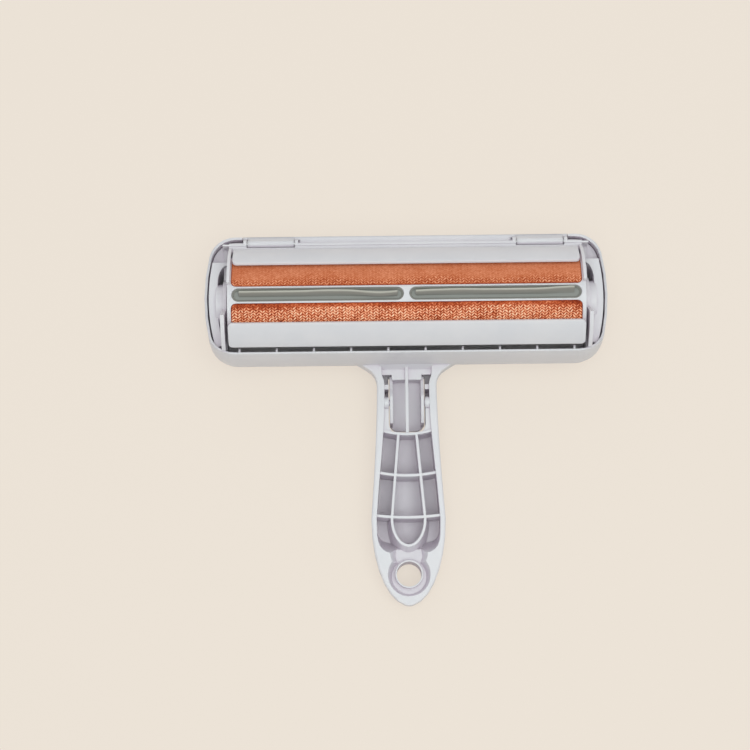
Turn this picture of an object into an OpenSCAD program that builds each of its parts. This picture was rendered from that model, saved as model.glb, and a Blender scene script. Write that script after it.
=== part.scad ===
// Reusable lint and pet hair roller with an emptying lid, lying on its back with the roller side up.
// Y runs from the tip of the handle to the front of the head, and most lengths are from the drum's axis.

/* [Head] */
// Width of the head from end wall to end wall
head_w = 195.2; // [180:0.2:220]
// From the drum's axis to the front face
head_front = 33.2; // [33:0.1:36]
// From the drum's axis to the rear face
head_rear = 28.2; // [28:0.1:31]
// Radius of the head's four corners, seen from above
corner_r = 13; // [10:0.5:15]
// Radius of the bowed end walls
bow_r = 90; // [75:1:140]
// Wall of the housing
wall = 1.5; // [1.3:0.1:1.8]
// Height of the drum's axis above the resting surface
axis_h = 31; // [30:0.5:36]
// Height of the dome below the straight part of the walls
dome_h = 23; // [20:0.5:23]
// How far the dome draws in at its flat crown
dome_in = 20; // [16:0.5:21]
// Height of the seam between lid and housing
seam_h = 9; // [8.5:0.1:10]
// Height of the rear rim above the drum's axis
rear_rim = 13; // [12.6:0.1:15]
// Height of the end walls' rim above the drum's axis
end_rim = 7; // [5:0.5:9]
// How far the rear rim leans in
rim_lean = 1.6; // [1:0.1:1.9]
// How much thinner the wall is at the rear rim
rim_thin = 0.6; // [0:0.1:0.7]

/* [Handle] */
// From the drum's axis to the tip of the handle
tip_reach = 144.1; // [138:1:170]
// Half width of the neck
neck_half = 14.5; // [14:0.1:16]
// Half width of the grip where it is widest
grip_half = 17.9; // [17:0.1:20]
// From the drum's axis to the widest point of the grip
grip_at = 103; // [100:1:108]
// Radius of the fillets between neck and head
neck_fillet = 10; // [7:0.5:10]
// Height of the handle's rim at the neck
handle_rim = 22; // [20:0.5:23]
// How much lower the rim is at the tip
tip_drop = 9; // [6:0.5:10]
// Height of the tip's underside above the resting surface
tip_lift = 5; // [2:0.5:6]
// Radius of the long lower edges
edge_r = 7; // [4:0.5:8]
// Wall of the handle
grip_wall = 2.6; // [2:0.1:3]
// Floor of the handle
skin = 2; // [1.6:0.1:2.4]
// Thickness of the cross ribs and the long rib
rib_t = 1.3; // [1:0.1:1.6]
// Number of cross ribs
rib_count = 3; // [2:1:3]
// From one cross rib to the next
rib_pitch = 20.6; // [18:0.2:21]
// Radius of the hanging hole
hole_r = 6; // [4:0.1:7]
// From the tip to the centre of the hanging hole
hole_from_tip = 14.8; // [13:0.1:17]

/* [Roller] */
// From the head's end wall to the end of the drum
end_room = 12.8; // [12.4:0.1:13.6]
// Radius of the drum's plastic
drum_r = 25; // [24.6:0.1:25.2]
// Wall of the drum
drum_wall = 1.8; // [1.4:0.1:2.2]
// Half angle of the drum
drum_half_angle = 56; // [52:1:56]
// How far the drum is turned towards the handle at rest
drum_turn = 1.3; // [-3:0.1:3]
// Thickness of the cloth
cloth_t = 0.75; // [0.5:0.05:0.8]
// From the end of the drum to the end of the cloth strips
cloth_short = 1.8; // [1.6:0.1:6]
// Angle from the drum's crown to the near edge of each cloth strip
cloth_from = 10; // [9:0.5:14]
// Width of the slots
slot_w = 6.4; // [5:0.1:6.8]
// Web between the two slots
slot_web = 2.6; // [2:0.1:6]
// Radius of the drum's axle pins
axle_r = 2; // [1.5:0.1:2.5]

/* [Covers] */
// Outer radius of the two fixed covers
cover_r = 28; // [27.9:0.05:28.3]
// Thickness of the covers
cover_t = 1.2; // [1:0.05:1.3]
// Angle from the crown to the front cover's near edge
front_near_angle = 33; // [28:0.1:35]
// Angle from the crown to the front cover's far edge
front_far_angle = 62.3; // [60:0.1:63]
// Angle from the crown to the rear cover's near edge
rear_near_angle = 30.7; // [28:0.1:35]
// Angle from the crown to the rear cover's far edge
rear_far_angle = 58; // [57:0.1:60]
// How much shorter the front cover is than the drum
front_cover_short = 4.6; // [4.2:0.1:20]
// How much shorter the rear cover is than the drum
rear_cover_short = 0.6; // [0:0.1:20]
// Radius of the covers' corners
cover_corner = 2; // [0.5:0.1:3]

/* [Lid hinge] */
// From the drum's axis forward to the hinge pins
hinge_y = 28.3; // [28.2:0.05:28.6]
// Height of the hinge pins above the drum's axis
hinge_z = 9; // [8.5:0.1:9.5]
// Outer radius of the hinge barrels
barrel_r = 1.8; // [1.6:0.05:1.9]
// Radius of the hinge pins
pin_r = 0.9; // [0.7:0.05:1]
// From the end of the lid's front wall to each hinge
hinge_margin = 2.1; // [1.9:0.1:20]
// Width of each hinge slot
hinge_w = 23.2; // [16:0.1:25]

/* [Button] */
// Half width of the button
button_half = 8.3; // [7.5:0.1:8.5]
// From the drum's axis back to the button's nose
button_nose = 33.4; // [33.2:0.1:34]
// From the drum's axis back to the button's tail
button_tail = 58.4; // [54:0.1:58.6]
// From the drum's axis back to the button's pivot
pivot_back = 46.5; // [46:0.1:47]
// Height of the button's pivot above the resting surface
pivot_h = 19; // [18.6:0.1:19.4]
// Radius of the button's pivot stubs
stub_r = 1.5; // [1.2:0.1:1.6]

/* [Hidden] */

$fn = 48;
// Clearances: a bonded or nested piece, a pressed pin, a turning pin, and parts that move past each other
nest_gap = 0.05;
press_gap = 0.02;
turn_gap = 0.07;
seat_gap = 0.3;
// A solid is carried this far into its neighbour where two forms of one moulding join
bury = 0.4;

shell_white = [0.84, 0.86, 0.85];
frame_white = [0.80, 0.82, 0.83];
cloth_orange = [0.85, 0.40, 0.22];
rubber_grey = [0.46, 0.46, 0.43];
steel = [0.70, 0.71, 0.72];

// The box is centred on the origin, so the drum's axis lies in front of it
axis_y = (tip_reach - head_front) / 2;
mid_y = (head_front - head_rear) / 2;
mouth_half = head_w / 2 - corner_r - 5.7;
lid_wall = wall;
rear_rim_h = axis_h + rear_rim;
end_rim_h = axis_h + end_rim;
lid_rim_h = axis_h + 5.5;
lid_half = mouth_half - seat_gap;
drum_half = head_w / 2 - end_room;
cloth_half = drum_half - cloth_short;
front_cover_l = 2 * drum_half - front_cover_short;
rear_cover_l = 2 * drum_half - rear_cover_short;
hinge_at = lid_half - hinge_margin - hinge_w / 2;
corner_steps = 6;
bow_steps = 4;

module from_axis() {
    translate([0, axis_y, 0]) children();
}

module on_axis() {
    translate([0, axis_y, axis_h]) children();
}

module on_drum() {
    on_axis() rotate([drum_turn, 0, 0]) children();
}

// Stands a flat shape, drawn as Y and Z, across the head
module across(length) {
    rotate([90, 0, 90]) linear_extrude(length, center = true) children();
}

// Part of a tube round the drum's axis, with angles from straight up towards the front
module arc_shell(r_in, r_out, length, from, to) {
    rotate([0, -90, 0]) rotate([0, 0, from]) rotate_extrude(angle = to - from)
        translate([r_in, -length / 2]) square([r_out - r_in, length]);
}

module rod(r, length) {
    rotate([0, 90, 0]) cylinder(r = r, h = length, center = true);
}

module both_sides() {
    children();
    mirror([1, 0, 0]) children();
}

function arc(cx, cy, r, from, to, steps) =
    [for (i = [0:steps]) let (a = from + (to - from) * i / steps) [cx + r * cos(a), cy + r * sin(a)]];

// Outline of the head drawn in by a distance, with arcs at the corners and bowed ends
function head_outline(inset) = let (
        r = corner_r - 0.45 * inset,
        front = head_front - inset,
        rear = head_rear - inset,
        bow_x = head_w / 2 - inset - bow_r,
        turn = asin((front - r - mid_y) / (bow_r - r)),
        cx = bow_x + (bow_r - r) * cos(turn))
    concat(
        arc(bow_x, mid_y, bow_r, -turn, turn, bow_steps),
        arc(cx, front - r, r, turn, 90, corner_steps),
        arc(-cx, front - r, r, 90, 180 - turn, corner_steps),
        arc(-bow_x, mid_y, bow_r, 180 - turn, 180 + turn, bow_steps),
        arc(-cx, r - rear, r, 180 + turn, 270, corner_steps),
        arc(cx, r - rear, r, 270, 360 - turn, corner_steps));

// The arcs above share their end points, and this drops each one that is there twice
function without_repeats(points) =
    [for (i = [0:len(points) - 1]) let (next = points[(i + 1) % len(points)])
        if (norm(points[i] - next) > 0.001) points[i]];

// The wall thins towards the rear rim
function wall_at(z) = wall - rim_thin * pow(max(0, z - dome_h) / (rear_rim_h - dome_h), 2);

function ring_at(inset, z) = [for (p = without_repeats(head_outline(inset))) [p[0], p[1], z]];

// How far the head draws in at a height: an elliptic dome below, a slight lean above
function head_inset(z) = z < dome_h
    ? dome_in * (1 - sqrt(1 - pow(1 - z / dome_h, 2)))
    : rim_lean * pow((z - dome_h) / (rear_rim_h - dome_h), 3);

// Skin between rings of equally many points, in order, with flat ends unless the last ring meets the first
module loft(rings, closed = false) {
    n = len(rings[0]);
    m = len(rings);
    spans = closed ? m : m - 1;
    sides = [for (k = [0:spans - 1], j = [0:n - 1]) let (
            a = k * n + j,
            b = k * n + (j + 1) % n,
            c = ((k + 1) % m) * n + (j + 1) % n,
            d = ((k + 1) % m) * n + j)
        each [[a, d, c], [a, c, b]]];
    ends = closed ? [] : [[for (j = [0:n - 1]) j], [for (j = [n - 1:-1:0]) (m - 1) * n + j]];
    polyhedron(points = [for (ring = rings) each ring], faces = concat(sides, ends), convexity = 8);
}

// The handle's forms, by the distance behind the drum's axis
flat_from = 95;
flat_to = 118;
root = head_rear - wall;
root_low = seam_h + 0.3;

function handle_half(back) = back < grip_at
    ? neck_half + (grip_half - neck_half) * pow(max(0, back - fillet_end) / (grip_at - fillet_end), 1.6)
        + (back < fillet_end ? neck_fillet - sqrt(max(0, pow(neck_fillet, 2) - pow(fillet_end - back, 2))) : 0)
    : grip_half * sqrt(max(0, 1 - pow((back - grip_at) / (tip_reach - grip_at), 2)));

function handle_low(back) = back < flat_from
    ? root_low * pow((flat_from - back) / (flat_from - root), 1.3)
    : tip_lift * pow(max(0, back - flat_to) / (tip_reach - flat_to), 2);

function handle_top(back) =
    handle_rim - tip_drop * pow(max(0, back - rim_level_to) / (tip_reach - rim_level_to), 2);

fillet_end = head_rear + neck_fillet;
rim_level_to = 60;
rim_round = 0.9;

// Section of the solid handle: a flat rim with eased edges, straight sides and rounded lower edges
function handle_ring(back) = let (
        w = handle_half(back),
        low = handle_low(back),
        top = handle_top(back),
        e = min(rim_round, w / 3),
        r = min(edge_r, w * 0.7, (top - low) * 0.45),
        side = concat(
            [[w - e, top], [w - 0.3 * e, top - 0.3 * e], [w, top - e]],
            arc(w - r, low + r, r, 0, -90, 5)))
    [for (p = concat(side, [for (i = [len(side) - 1:-1:0]) [-side[i][0], side[i][1]]])) [-p[0], -back, p[1]]];

handle_stations = concat(
    [for (i = [0:5]) root + (fillet_end - root) * i / 5],
    [for (i = [1:8]) fillet_end + (grip_at - fillet_end) * i / 8],
    [for (a = [12:12:84]) grip_at + (tip_reach - grip_at) * sin(a)],
    [grip_at + (tip_reach - grip_at) * sin(88)]);

module handle_solid() {
    loft([for (back = handle_stations) handle_ring(back)]);
}

pocket_from = head_rear + 0.1;
pocket_end = 17;
pocket_end_low = 9.5;
rib_1 = 61.5;
rib_bow = 2;

// The hollow's side walls are thicker at the neck and thin out towards the grip
pocket_corner = 12.2;
neck_wall = 3.7;
neck_wall_to = 56;
neck_wall_gone = 88;
pocket_stations = [for (b = handle_stations) if (b > pocket_from + 1 && b <= grip_at + 0.01) b];

function side_wall(back) = let (
        fade = min(1, max(0, (back - neck_wall_to) / (neck_wall_gone - neck_wall_to))))
    neck_wall + (grip_wall - neck_wall) * fade;

function pocket_half(back) = back < neck_wall_to
    ? min(handle_half(back) - side_wall(back), pocket_corner)
    : handle_half(back) - side_wall(back);

// Plan of the hollow as far as the grip's widest place
module pocket_plan() {
    straight = [for (b = concat([pocket_from], pocket_stations)) [pocket_half(b), -b]];
    polygon(concat(straight, [for (i = [len(straight) - 1:-1:0]) [-straight[i][0], straight[i][1]]]));
}

// Squared round end of the hollow, with a wall that slopes up to the rim
module pocket_tail() {
    wide = pocket_half(grip_at);
    loft([for (level = [[0, pocket_end_low], [handle_rim - 4, pocket_end], [handle_rim + 5, pocket_end + 1]])
        concat([[-wide, -grip_at + bury, level[0]]],
            [for (a = [168:-12:12]) let (c = cos(a), s = sin(a))
                [wide * sign(c) * sqrt(abs(c)), -grip_at - level[1] * sqrt(s), level[0]]],
            [[wide, -grip_at + bury, level[0]]])]);
}

// Side view of the space above the handle's floor, from a given height over its underside
module handle_side(over, below_rim) {
    backs = [for (i = [0:12]) pocket_from + (grip_at + pocket_end + 1 - pocket_from) * i / 12];
    polygon(concat(
        [for (b = backs) [-b, handle_low(b) + over]],
        [for (i = [len(backs) - 1:-1:0]) [-backs[i], handle_top(backs[i]) - below_rim]]));
}

// Long rib: two runs that spread from the first cross rib and close in a round end
long_near = 4.3;
long_far = 8;
long_end = 12.8;

function long_rib_line(half_shift) = concat(
    [[long_near + half_shift, -rib_1]],
    [for (a = [0:12:84]) [(long_far + half_shift) * cos(a), -grip_at - (long_end + half_shift) * sin(a)]],
    [[0, -grip_at - long_end - half_shift]]);

module long_rib_plan() {
    difference() {
        long_rib_half(rib_t / 2);
        long_rib_half(-rib_t / 2);
    }
}

module long_rib_half(shift) {
    line = long_rib_line(shift);
    polygon(concat(line, [for (i = [len(line) - 2:-1:0]) [-line[i][0], line[i][1]]]));
}

// Cross rib, bowed towards the tip in the middle
module cross_rib_plan(back, bow) {
    reach = handle_half(back) - grip_wall + bury;
    line = [for (i = [-4:4]) [reach * i / 4, -back - bow * (1 - pow(i / 4, 2))]];
    polygon(concat(line, [for (i = [8:-1:0]) [line[i][0], line[i][1] - rib_t]]));
}

module handle_ribs() {
    intersection() {
        linear_extrude(handle_rim) {
            long_rib_plan();
            for (i = [0:rib_count - 1]) {
                cross_rib_plan(rib_1 + rib_pitch * i - rib_bow, rib_bow - 0.5 * i);
            }
        }
        across(2 * grip_half) handle_side(skin - bury, 1);
    }
}

// The round end's outer face slopes out towards the floor
foot_out = 1.6;
foot_back = 6;
foot_sunk = 0.3;

module rib_foot() {
    low = handle_low(grip_at) + skin - bury;
    top = handle_top(grip_at + long_end) - 1.2;
    difference() {
        loft([for (level = [[low, foot_out, foot_back], [top, -foot_sunk, -foot_sunk]])
            let (across_r = long_far + rib_t / 2 + level[1], back_r = long_end + rib_t / 2 + level[2])
            [for (a = [180:-12:0]) [across_r * cos(a), -grip_at - back_r * sin(a), level[0]]]]);
        linear_extrude(handle_rim) long_rib_half(0);
    }
}

// Bar down the middle of the neck, over the button's arm
bar_low = 17.6;
bar_t = rib_t + 0.2;

module neck_bar() {
    translate([-bar_t / 2, -rib_1, bar_low]) cube([bar_t, rib_1 - root + bury, handle_rim - 0.6 - bar_low]);
}

// Opening in the handle's floor for the button
opening_half = button_half + 0.6;
opening_front = button_nose - 0.6;
opening_rear = button_tail + 2.4;

module rounded_plan(half, front, rear, r) {
    translate([-half, -rear + r]) square([2 * half, rear - front - r]);
    translate([-half + r, -rear]) square([2 * half - 2 * r, r + 1]);
    for (s = [-1, 1]) {
        translate([s * (half - r), -rear + r]) circle(r = r);
    }
}

// Ears on the neck's side walls that carry the button's stubs
ear_in = button_half + 0.5;
ear_out = neck_half - 1;
ear_r = 2.9;

deck_back = 35.2;
deck_low = bar_low + 0.6;
deck_top = deck_low + 1.4;
deck_w = 28;
slope_w = 26;
slope_back = 1.8;
slope_rise = 3.8;
neck_step = 20.2;
bracket_back = 40;
bracket_w = 2.4;

// Deck across the neck over the button's arm, sloped up to the head, with a short rib each side behind it
module neck_deck() {
    translate([-deck_w / 2, -head_rear - 4.5, deck_low]) cube([deck_w, 5.5, deck_top - deck_low]);
    translate([-button_half + 1, -deck_back, deck_low])
        cube([2 * button_half - 2, deck_back - head_rear, deck_top - deck_low]);
    across(slope_w) translate([-head_rear, deck_top]) polygon([[0.5, -1], [-slope_back, -1], [-slope_back, 0.1],
        [-0.1, slope_rise], [0.5, slope_rise]]);
    low = handle_low(bracket_back) + skin - bury;
    both_sides() translate([ear_in, -bracket_back, low]) cube([ear_out - ear_in, bracket_w, neck_step - low]);
}

// Ledges beside the button, from its stubs to the first cross rib
module neck_ledges() {
    low = handle_low(pivot_back) + skin - bury;
    reach = ear_out - 0.2;
    translate([0, 0, low]) linear_extrude(neck_step - low) difference() {
        polygon(concat([for (i = [-4:4]) [reach * i / 4, -rib_1 - bury + rib_bow * pow(i / 4, 2)]],
            [[reach, -pivot_back - ear_r], [-reach, -pivot_back - ear_r]]));
        rounded_plan(opening_half, opening_front, rib_1 + 1.2, 6);
    }
}

module button_ears() {
    both_sides() translate([0, -pivot_back, 0]) {
        translate([(ear_in + ear_out) / 2, 0, pivot_h]) rod(ear_r, ear_out - ear_in);
        translate([ear_in, -ear_r, skin + handle_low(pivot_back) - bury])
            cube([ear_out - ear_in, 2 * ear_r, pivot_h - skin - handle_low(pivot_back) + bury]);
    }
}

hole_back = tip_reach - hole_from_tip;
boss_r = hole_r + 0.7;
dish_r = boss_r + 3.6;
dish_depth = 4.8;
dish_slope = 0.4;
dish_over = 4;
dish_shift = 1;
link_r = 8.4;

// Dish with sloping sides round the hole's boss, open to the hollow in the middle
module tip_dish() {
    floor_h = handle_top(hole_back) - dish_depth;
    rise = dish_depth + dish_over;
    translate([0, -hole_back - dish_shift, floor_h])
        cylinder(r1 = dish_r - dish_slope * dish_depth, r2 = dish_r + dish_slope * dish_over, h = rise);
    translate([0, -grip_at - pocket_end, floor_h + 0.1])
        cylinder(r1 = link_r - dish_slope * dish_depth, r2 = link_r + dish_slope * dish_over, h = rise);
}

module handle() {
    difference() {
        union() {
            difference() {
                handle_solid();
                intersection() {
                    union() {
                        linear_extrude(handle_rim + 5) pocket_plan();
                        pocket_tail();
                    }
                    across(2 * grip_half) handle_side(skin, -3);
                }
                tip_dish();
            }
            handle_ribs();
            rib_foot();
            neck_ledges();
            neck_bar();
            neck_deck();
            button_ears();
            translate([0, -hole_back, handle_low(hole_back) + 1])
                cylinder(r = boss_r, h = handle_top(hole_back) - handle_low(hole_back) - 1.6);
        }
        translate([0, -hole_back, -1]) cylinder(r = hole_r, h = 40);
        translate([0, 0, -1]) linear_extrude(13) rounded_plan(opening_half, opening_front, opening_rear, 4);
        translate([0, -pivot_back, pivot_h]) rod(stub_r + turn_gap, 2 * neck_half - 3);
    }
}

// The head's walls: a closed band from the seam to the rear rim
wall_heights = [seam_h, 12, 16, dome_h, 30, 36, 40, rear_rim_h + 0.2];

module head_band() {
    outer = [for (z = wall_heights) ring_at(head_inset(z), z)];
    inner = [for (i = [len(wall_heights) - 1:-1:0]) let (z = wall_heights[i]) ring_at(head_inset(z) + wall_at(z), z)];
    loft(concat(outer, inner), closed = true);
}

// What is above the rim: the rear is tall, the ends are lower
module above_rim() {
    across(head_w + 10) polygon([[-40, rear_rim_h], [-head_rear + 2.5, rear_rim_h],
        [-head_rear + 8, rear_rim_h - 3.4], [-head_rear + 15, end_rim_h], [head_front - 10, end_rim_h],
        [head_front, lid_rim_h], [head_front + 8, lid_rim_h], [head_front + 8, rear_rim_h + 20],
        [-40, rear_rim_h + 20]]);
}

// Small ribs inside the rear wall, beside the far edge of the rear cover
rest_rib_count = 10;
rest_rib_margin = 4.8;
rest_rib_pitch = (rear_cover_l - 2 * rest_rib_margin) / (rest_rib_count - 1);
rest_rib_t = 1;
drum_clear = drum_r + cloth_t + nest_gap + seat_gap;
cover_inner_r = cover_r - cover_t;
rest_h = rear_rim - 0.6;
rest_reach = 4.6;

module rest_ribs() {
    heights = [2, 6, 9, rest_h];
    difference() {
        for (i = [0:rest_rib_count - 1]) {
            translate([(i - (rest_rib_count - 1) / 2) * rest_rib_pitch, 0, axis_h]) across(rest_rib_t) polygon(concat(
                [for (z = heights) [head_inset(axis_h + z) + wall / 2 - head_rear, z]],
                [[rest_reach - head_rear, rest_h], [rest_reach - head_rear, 2]]));
        }
        translate([0, 0, axis_h]) rod(drum_clear + 0.1, head_w);
    }
}

// Window in the rear wall for the button's arm and hook
window_half = 5.5;
window_top = 18.5;

module housing() {
    color(shell_white) from_axis() {
        difference() {
            union() {
                head_band();
                handle();
                rest_ribs();
            }
            above_rim();
            translate([-mouth_half, head_front - 9, 0]) cube([2 * mouth_half, 20, 80]);
            translate([-window_half, -head_rear - 0.4, 0]) cube([2 * window_half, 8, window_top]);
        }
    }
}

// Frame round the drum: end plates, cheeks, front rail and rear sill
frame_low = -7;
plate_in = drum_half + 1.3;
plate_t = 1.9;
boss_out = plate_in + plate_t + 3;
axle_boss_r = 10.2;
rail_in = drum_clear + 0.1;
rail_t = 1.1;
cheek_w = 4;
cheek_gap = 0.5;
cheek_rear = -22;
cheek_front = 20;
cheek_end_t = 1.5;
cheek_bend = 9;
horn_t = 1.5;
horn_foot = 72;

rear_clear = head_rear - rim_lean - wall - seat_gap;

module end_plate() {
    translate([plate_in + plate_t / 2, 0, 0]) across(plate_t) {
        circle(r = 12);
        translate([-rear_clear, frame_low]) square([rear_clear + rail_in, 3 - frame_low]);
        intersection() {
            circle(r = cover_r);
            polygon([[0, 0], [-11.2, 27.8], [-rear_clear, 27.8], [-rear_clear, 10]]);
        }
    }
}

// A band along the end wall whose front end bends in to the end plate
module cheek() {
    r_out = bow_r - wall - head_inset(end_rim_h) - cheek_gap;
    r_in = r_out - cheek_w;
    from = asin((cheek_rear - mid_y) / r_out);
    to = asin((cheek_front - mid_y) / r_out);
    bend_y = cheek_front - cheek_end_t - cheek_bend;
    in_to = asin((bend_y - mid_y) / r_in);
    cx = head_w / 2 - bow_r;
    reach = cx + r_in * cos(in_to) - plate_in;
    translate([0, 0, frame_low]) linear_extrude(end_rim - 0.2 - frame_low) polygon(concat(
        arc(cx, mid_y, r_out, from, to, 10),
        [[plate_in, cheek_front], [plate_in, cheek_front - cheek_end_t]],
        [for (a = [75:-15:15]) [plate_in + reach * cos(a), bend_y + cheek_bend * sin(a)]],
        arc(cx, mid_y, r_in, in_to, from, 10)));
}

// Closes the head's front corner between the frame and the end wall
corner_floor_h = 1.5;

module corner_floor() {
    translate([0, 0, corner_floor_h - 1.4]) linear_extrude(1.4) intersection() {
        polygon(without_repeats(head_outline(head_inset(axis_h) + wall + seat_gap + 0.1)));
        union() {
            translate([plate_in, cheek_front - 2]) square([20, 20]);
            translate([mouth_half + seat_gap, rail_in + 0.2]) square([30, 12]);
        }
    }
}

bracket_t = 1.6;
ridge_y = 28.3;
ridge_t = 0.8;
ridge_in = 0.6;
ridge_h = 11.4;
ridge_half = head_w / 2 - 9.5;
deck_h = 10.9;
deck_t = 1.4;
shelf_h = 3.6;

module hinge_brackets() {
    for (s = [-1, 1]) {
        translate([hinge_at + s * (hinge_w + bracket_t) / 2, hinge_y, hinge_z]) {
            rod(barrel_r + 0.3, bracket_t);
            translate([-bracket_t / 2, rail_in + 0.2 - hinge_y, shelf_h - hinge_z - 1])
                cube([bracket_t, hinge_y - rail_in + 1, hinge_z - shelf_h + 2]);
        }
    }
}

// Rail under the front cover's far edge: an upright wall, a deck, a low ridge, and a shelf inside the lid's front wall
module front_rail() {
    low_half = plate_in + plate_t;
    long = plate_in - 1.1;
    shelf_y = head_front - lid_wall - seat_gap - 0.2;
    difference() {
        union() {
            translate([-long, rail_in, frame_low]) cube([2 * long, ridge_y - rail_in, deck_h - frame_low]);
            translate([-low_half, rail_in, frame_low]) cube([2 * low_half, ridge_y - rail_in, 3 - frame_low]);
            translate([-long, rail_in - 3.5, deck_h - deck_t]) cube([2 * long, 4, deck_t]);
            translate([-ridge_half, ridge_y - ridge_in - ridge_t, 0.2]) cube([2 * ridge_half, ridge_t, ridge_h - 0.2]);
            translate([-lid_half + 0.4, ridge_y - bury, shelf_h - 1.2])
                cube([2 * lid_half - 0.8, shelf_y - ridge_y + bury, 1.2]);
        }
        translate([-long + 1, rail_in - 4, frame_low - 1])
            cube([2 * long - 2, ridge_y - rail_in - rail_t + 4, deck_h - deck_t - frame_low + 1]);
        both_sides() translate([hinge_at - hinge_w / 2, hinge_y - barrel_r - seat_gap - 0.2, -1]) cube([hinge_w, 10, 20]);
    }
}

module roller_frame() {
    color(frame_white) on_axis() difference() {
        union() {
            front_rail();
            both_sides() {
                end_plate();
                cheek();
                hinge_brackets();
                corner_floor();
                translate([(plate_in + boss_out + 0.4) / 2, 0, 0]) rod(axle_boss_r, boss_out + 0.4 - plate_in);
                translate([plate_in - 1.2 - horn_t / 2, 0, 0])
                    arc_shell(drum_clear + 0.1, cover_r + 0.2, horn_t, cloth_from, horn_foot);
            }
            translate([-plate_in - bury, -rear_clear, frame_low]) cube([2 * (plate_in + bury), 1.3, 3]);
        }
        intersection() {
            rod(drum_clear, 2 * plate_in);
            translate([-head_w, -head_w, frame_low + 4]) cube(2 * head_w);
        }
        both_sides() translate([(plate_in + boss_out) / 2 - 1, 0, 0]) rod(axle_r + press_gap, boss_out - plate_in + 2);
        both_sides() translate([hinge_at, hinge_y, hinge_z]) rod(pin_r + press_gap, hinge_w + 2 * bracket_t + 1);
    }
}

function rounded_box(x, y, r) = concat(
    arc(x - r, y - r, r, 0, 90, corner_steps),
    arc(r - x, y - r, r, 90, 180, corner_steps),
    arc(r - x, r - y, r, 180, 270, corner_steps),
    arc(x - r, r - y, r, 270, 360, corner_steps));

// Curved strip trimmed to a plan with rounded corners, seen along the middle of its arc
module cover_strip(length, near, far) {
    chord = 2 * cover_r * sin((far - near) / 2);
    intersection() {
        arc_shell(cover_inner_r, cover_r, length + 4, near - 4, far + 4);
        rotate([-(near + far) / 2, 0, 0]) translate([0, 0, cover_r / 2]) linear_extrude(cover_r)
            polygon(rounded_box(length / 2, chord / 2, cover_corner));
    }
}

module front_cover() {
    color(shell_white) on_axis() cover_strip(front_cover_l, front_near_angle, front_far_angle);
}

module rear_cover() {
    color(shell_white) on_axis() mirror([0, 1, 0]) cover_strip(rear_cover_l, rear_near_angle, rear_far_angle);
}

// Lining of short cloth bonded inside each cover, which wipes the drum's strips as they pass
lining_t = 0.6;

module lining(length, near, far) {
    arc_shell(cover_inner_r - nest_gap - lining_t, cover_inner_r - nest_gap, length - 4, near + 2, far - 3);
}

module front_stripper() {
    color(cloth_orange) on_axis() lining(front_cover_l, front_near_angle, front_far_angle);
}

module rear_stripper() {
    color(cloth_orange) on_axis() mirror([0, 1, 0]) lining(rear_cover_l, rear_near_angle, rear_far_angle);
}

slot_far = cloth_half - 0.3;
slot_near = slot_web / 2;

module slot_plan(shrink) {
    r = slot_w / 2 - shrink;
    near = slot_near + slot_w / 2;
    far = slot_far - slot_w / 2;
    translate([near, -r]) square([far - near, 2 * r]);
    translate([near, 0]) circle(r = r);
    translate([far, 0]) circle(r = r);
}

module drum() {
    color(shell_white) on_drum() difference() {
        arc_shell(drum_r - drum_wall, drum_r, 2 * drum_half, -drum_half_angle, drum_half_angle);
        both_sides() translate([0, 0, 15]) linear_extrude(20) slot_plan(0);
    }
}

// Closes the drum's end and turns on the axle pin
cap_t = 1;
cap_hub_r = 5;
cap_hub_l = 6;

module end_cap() {
    difference() {
        union() {
            translate([drum_half - 0.1 - cap_t / 2, 0, 0])
                arc_shell(cap_hub_r - 1, drum_r - drum_wall - nest_gap, cap_t, 2 - drum_half_angle, drum_half_angle - 2);
            translate([drum_half - 0.1 - cap_hub_l / 2, 0, 0]) rod(cap_hub_r, cap_hub_l);
        }
        translate([drum_half - 3, 0, 0]) rod(axle_r + turn_gap, 10);
    }
}

module left_end_cap() {
    color(frame_white) on_drum() mirror([1, 0, 0]) end_cap();
}

module right_end_cap() {
    color(frame_white) on_drum() end_cap();
}

module axle() {
    in = drum_half - cap_hub_l;
    out = boss_out - seat_gap;
    translate([(in + out) / 2, 0, 0]) rod(axle_r, out - in);
}

module left_axle() {
    color(steel) on_axis() mirror([1, 0, 0]) axle();
}

module right_axle() {
    color(steel) on_axis() axle();
}

// Cloth strip on the drum, with the two corners next to the slots rounded off
module cloth_strip() {
    cloth_r = drum_r + nest_gap;
    near = cloth_r * sin(cloth_from);
    round_r = 2.2;
    intersection() {
        arc_shell(cloth_r, cloth_r + cloth_t, 2 * cloth_half, cloth_from, drum_half_angle - 1);
        linear_extrude(cloth_r + 5) {
            translate([-cloth_half, near + round_r]) square([2 * cloth_half, cloth_r]);
            translate([-cloth_half + round_r, 0]) square([2 * (cloth_half - round_r), near + round_r + 1]);
            for (s = [-1, 1]) {
                translate([s * (cloth_half - round_r), near + round_r]) circle(r = round_r);
            }
        }
    }
}

module front_cloth() {
    color(cloth_orange) on_drum() cloth_strip();
}

module rear_cloth() {
    color(cloth_orange) on_drum() mirror([0, 1, 0]) cloth_strip();
}

// Rubber insert: a flange inside the drum, a floor in the slot and a lip along it
flange_extra = 0.7;
flange_t = 1.1;
lip_t = 1;
lip_top = 26.3;

module blade() {
    inner = drum_r - drum_wall;
    flange_top = sqrt(pow(inner, 2) - pow(slot_w / 2 + flange_extra, 2)) - nest_gap;
    floor_top = drum_r - 1.5;
    translate([0, 0, flange_top - flange_t]) linear_extrude(flange_t) slot_plan(-flange_extra);
    translate([0, 0, flange_top - bury]) linear_extrude(floor_top - flange_top + bury) slot_plan(nest_gap + 0.05);
    translate([slot_near + 1.6, 0.2, floor_top - bury]) rotate([-8, 0, 0])
        cube([slot_far - slot_near - 3.4, lip_t, lip_top - floor_top + bury]);
}

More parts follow.
